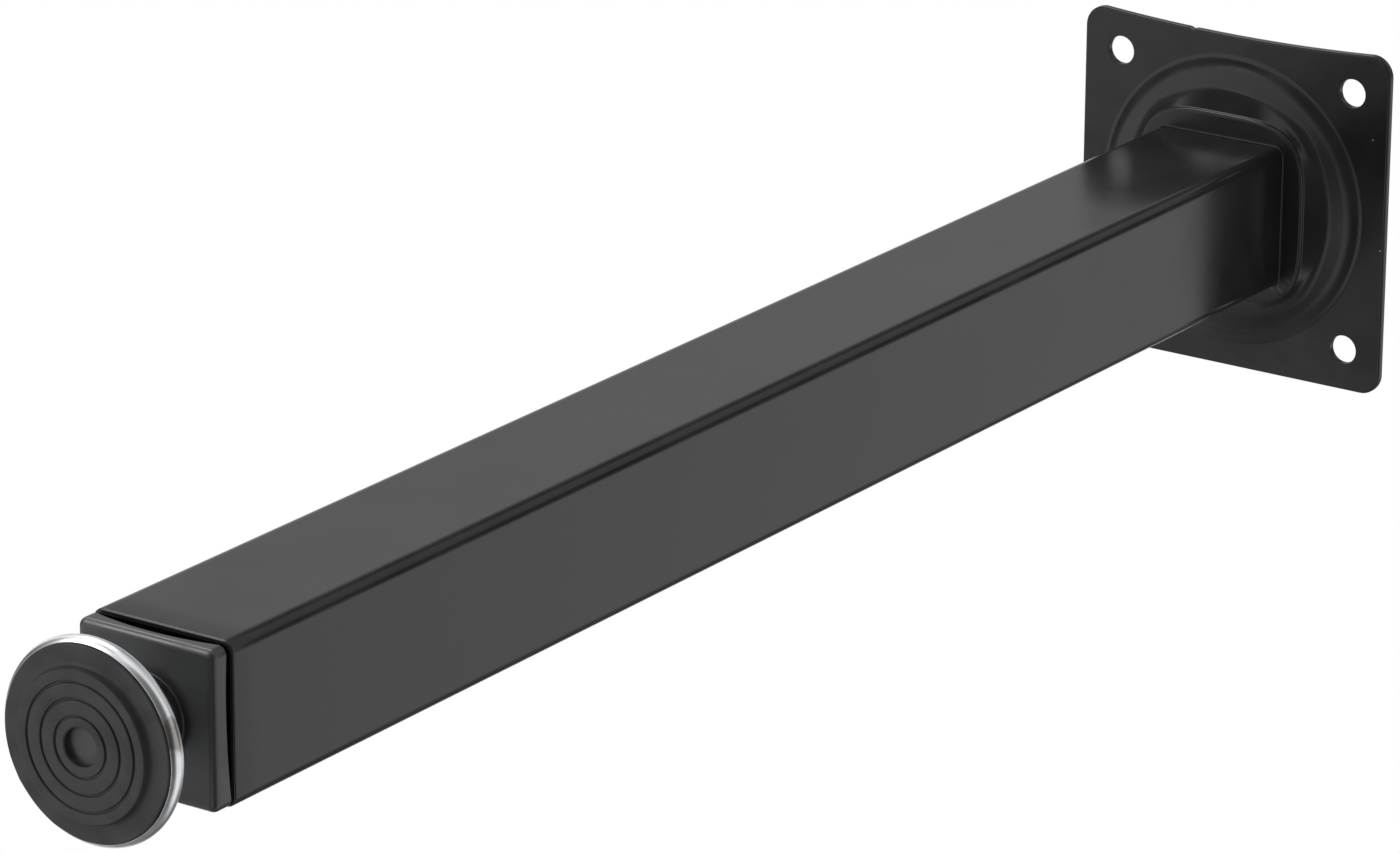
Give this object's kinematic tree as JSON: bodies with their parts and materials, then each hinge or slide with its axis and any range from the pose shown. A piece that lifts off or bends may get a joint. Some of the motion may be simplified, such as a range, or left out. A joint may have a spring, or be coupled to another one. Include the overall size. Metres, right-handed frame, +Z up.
{
  "type": "table leg",
  "caption": "Square steel table leg with a pressed screw-on mounting plate and a threaded levelling foot with rubber sole.",
  "frame": {"origin": "on the floor, under the middle of the foot", "axes": "+Z up along the leg to the table top, X and Y square to the tube's faces"},
  "size_m": [0.0966, 0.0966, 0.5026],
  "materials": {
    "gloss_black_paint": "gloss black powder coat on steel",
    "black_plastic": "satin black moulded plastic",
    "zinc_plated_steel": "bright zinc-plated steel, bluish white",
    "black_rubber": "matt black rubber"
  },
  "bodies": {
    "leg": {"leg_tube": "gloss_black_paint", "mounting_plate": "gloss_black_paint", "weld_bead": "gloss_black_paint", "end_insert": "black_plastic", "insert_nut": "zinc_plated_steel"},
    "stud": {"foot_stud": "zinc_plated_steel"},
    "foot": {"foot_cup": "zinc_plated_steel", "foot_pad": "black_rubber"}
  },
  "joints": [
    {"name": "foot_height", "type": "slide", "parent": "leg", "child": "stud", "axis": [0, 0, -1], "range_m": [-0.009, 0.015]},
    {"name": "foot_turn", "type": "hinge", "parent": "stud", "child": "foot", "pos_m": [0, 0, 0], "axis": [0, 0, -1], "range_deg": [-2160, 3600]}
  ],
  "couplings": [
    {"joint": "foot_height", "follows": "foot_turn", "m_per_rad": 0.00023873}
  ]
}
